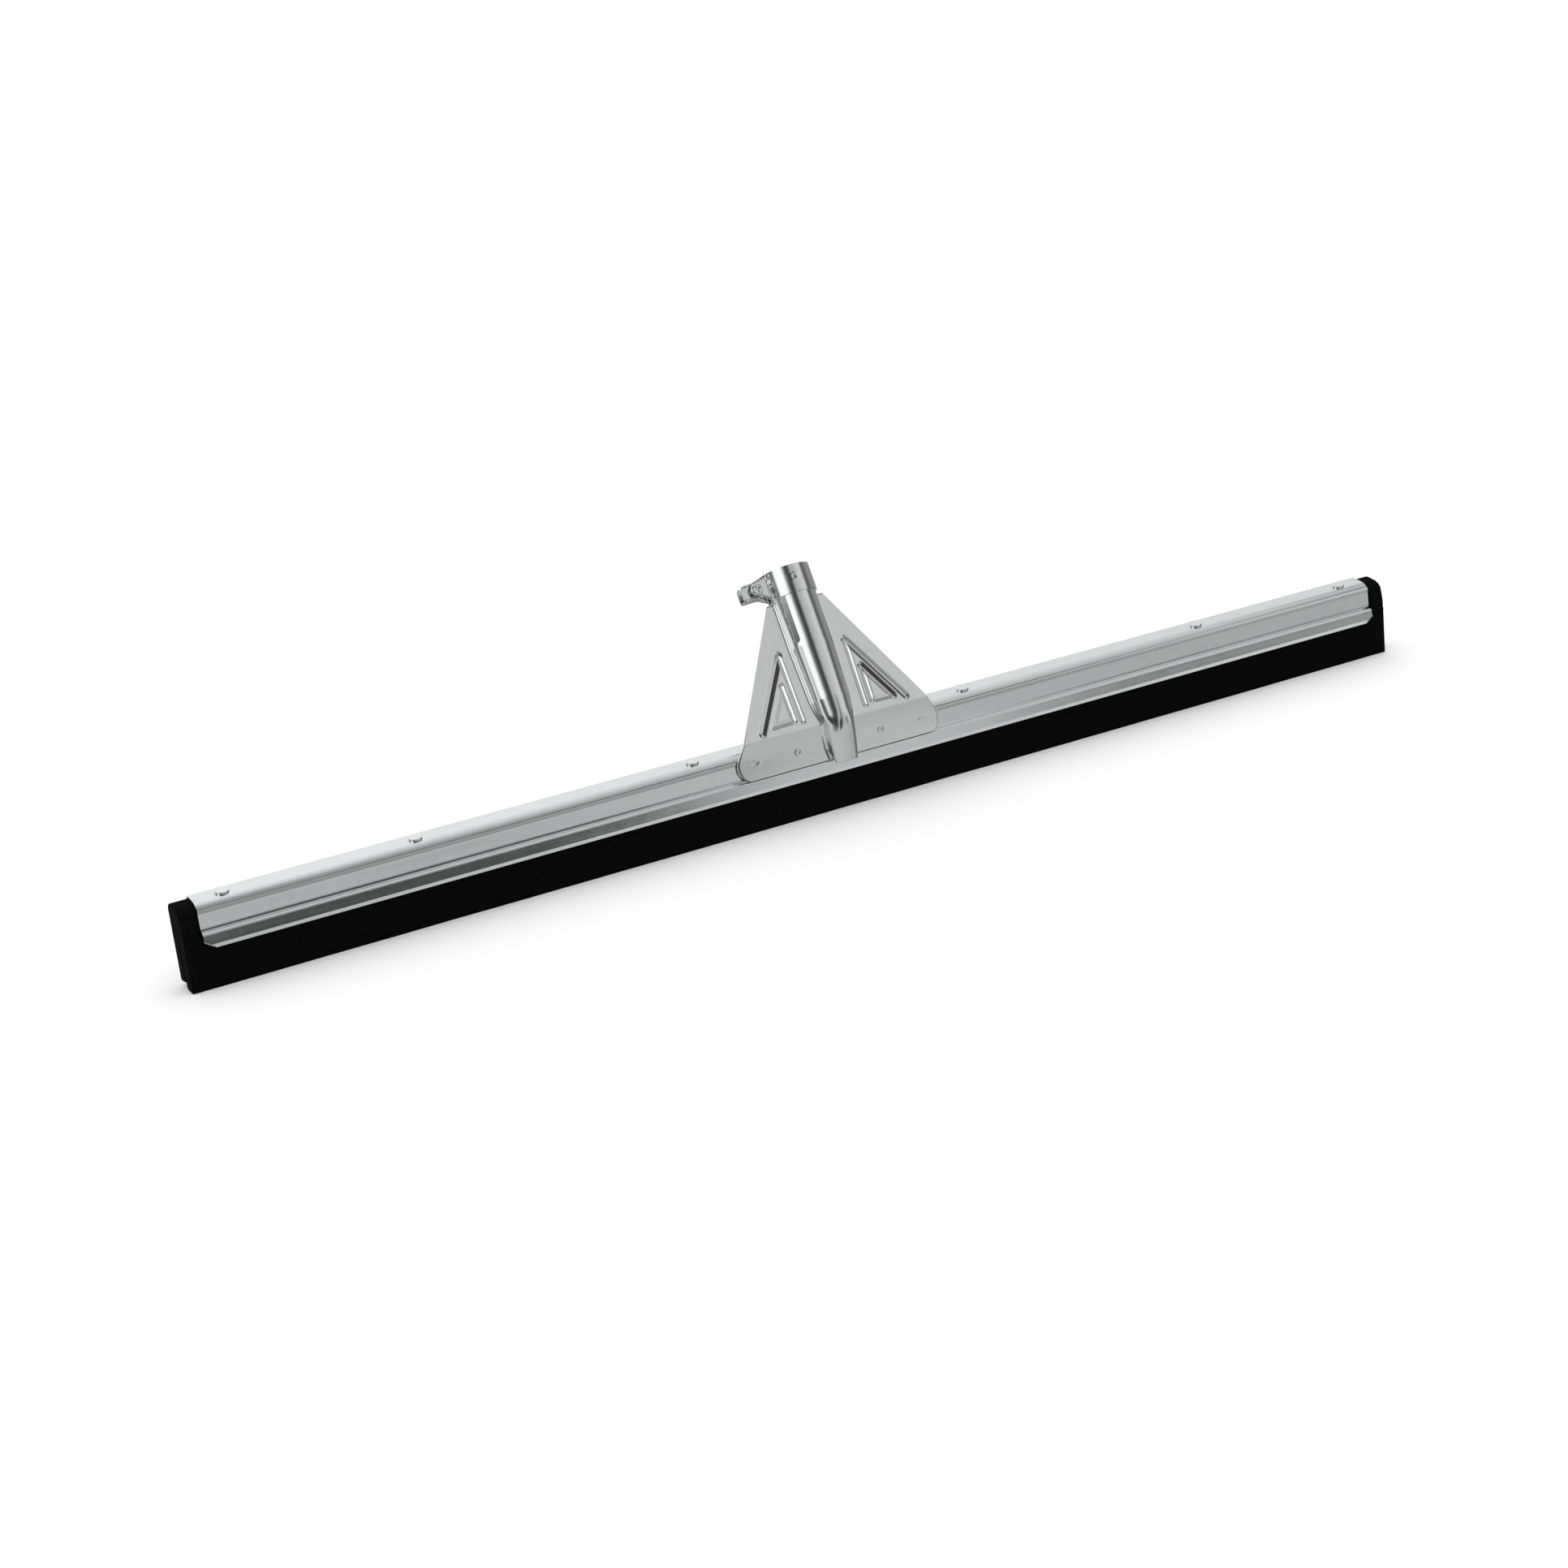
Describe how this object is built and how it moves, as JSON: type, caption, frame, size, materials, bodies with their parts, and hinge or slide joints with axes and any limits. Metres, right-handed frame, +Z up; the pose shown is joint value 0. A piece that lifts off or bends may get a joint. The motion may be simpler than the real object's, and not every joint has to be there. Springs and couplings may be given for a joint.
{
  "type": "floor squeegee head",
  "caption": "Wide floor squeegee head: double-lip foam rubber blade riveted in a folded steel channel, with a leaning clamp socket for a round handle.",
  "frame": {"origin": "middle of the front lip's underside, where the blade meets the floor", "axes": "+X along the blade towards its right end seen from the front, +Y to the rear (the socket leans this way), +Z up"},
  "size_m": [0.75, 0.0641, 0.1329],
  "materials": {
    "galvanized_sheet": "galvanized sheet with faint lengthwise rolling marks",
    "bright_zinc": "bright zinc plated pressed sheet",
    "rivet_steel": "bright zinc plated",
    "screw_zinc": "zinc plated",
    "plain_steel": "plain rolled steel",
    "moss_rubber": "closed-cell foam rubber, matte with fine pores"
  },
  "bodies": {
    "head": {"frame_channel": "galvanized_sheet", "moss_rubber_blade": "moss_rubber", "backing_bar": "plain_steel", "rivet_1": "rivet_steel", "rivet_2": "rivet_steel", "rivet_3": "rivet_steel", "rivet_4": "rivet_steel", "rivet_5": "rivet_steel", "rivet_6": "rivet_steel", "rivet_washer_1": "plain_steel", "rivet_washer_2": "plain_steel", "rivet_washer_3": "plain_steel", "rivet_washer_4": "plain_steel", "rivet_washer_5": "plain_steel", "rivet_washer_6": "plain_steel", "socket_front_plate": "bright_zinc", "socket_rear_shell": "bright_zinc", "rear_strap": "bright_zinc", "clamp_collar": "bright_zinc", "clamp_square_nut": "screw_zinc"},
    "screw_seat": {"clamp_lock_washer": "screw_zinc"},
    "screw": {"clamp_screw": "screw_zinc"}
  },
  "joints": [
    {"name": "clamp_screw_back_out", "type": "slide", "parent": "head", "child": "screw_seat", "axis": [0, -0.8763, 0.4818], "range_m": [0, 0.0021]},
    {"name": "clamp_screw_turn", "type": "hinge", "parent": "screw_seat", "child": "screw", "pos_m": [-0.022, 0.03614, 0.11953], "axis": [0, -0.8763, 0.4818], "range_deg": [0, 1080]}
  ],
  "couplings": [
    {"joint": "clamp_screw_turn", "follows": "clamp_screw_back_out", "rad_per_m": 8976}
  ]
}
